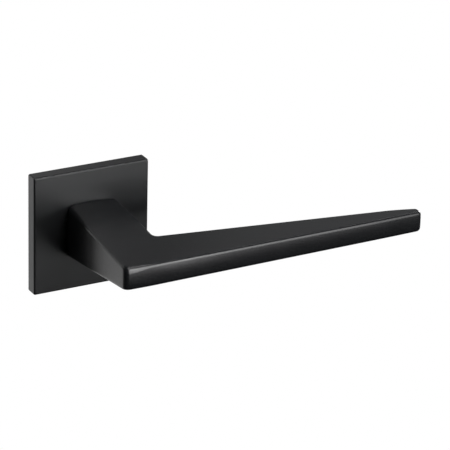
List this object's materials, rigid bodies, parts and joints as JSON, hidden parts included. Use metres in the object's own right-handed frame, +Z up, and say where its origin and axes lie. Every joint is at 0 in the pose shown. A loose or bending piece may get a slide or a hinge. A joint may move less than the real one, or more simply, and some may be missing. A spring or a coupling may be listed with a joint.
{
  "type": "door lever handle",
  "caption": "Slim square-rose door lever handle: a tapering angular lever sprung on a spindle, with base plate, clip-on cover, threaded posts and return spring.",
  "frame": {"origin": "where the spindle's axis meets the face of the door, at the back face of the base plate", "axes": "+Z up, +X along the lever from the spindle to its tip, +Y into the door along the spindle"},
  "size_m": [0.1526, 0.1019, 0.052],
  "materials": {
    "black_coat": "satin black powder coat, fine and even",
    "cast_zinc": "bare die-cast zinc, dull grey",
    "plated_steel": "bright zinc-plated steel",
    "spring_steel": "oiled dark spring steel",
    "black_steel": "blackened steel screw",
    "black_nylon": "moulded black nylon",
    "white_acetal": "moulded off-white acetal"
  },
  "bodies": {
    "rose": {"rose_cover": "black_coat", "guide_ring": "black_nylon", "base_plate": "cast_zinc", "post_left": "plated_steel", "post_right": "plated_steel", "neck_bush": "white_acetal", "return_spring": "spring_steel", "spring_cover": "plated_steel", "snap_ring": "spring_steel", "cover_clip_upper_left": "spring_steel", "cover_clip_upper_right": "spring_steel", "cover_clip_lower_left": "spring_steel", "cover_clip_lower_right": "spring_steel"},
    "lever": {"lever": "black_coat", "set_screw": "black_steel", "spindle": "plated_steel", "spindle_leaf": "spring_steel", "driver": "cast_zinc", "wave_washer": "spring_steel", "circlip": "spring_steel"}
  },
  "joints": [
    {"name": "lever_turn", "type": "hinge", "parent": "rose", "child": "lever", "pos_m": [0, 0, 0], "axis": [0, 1, 0], "range_deg": [0, 45], "stiffness_Nm_per_rad": 0.4, "springref_deg": -51.57, "deforming": ["return_spring"]}
  ]
}
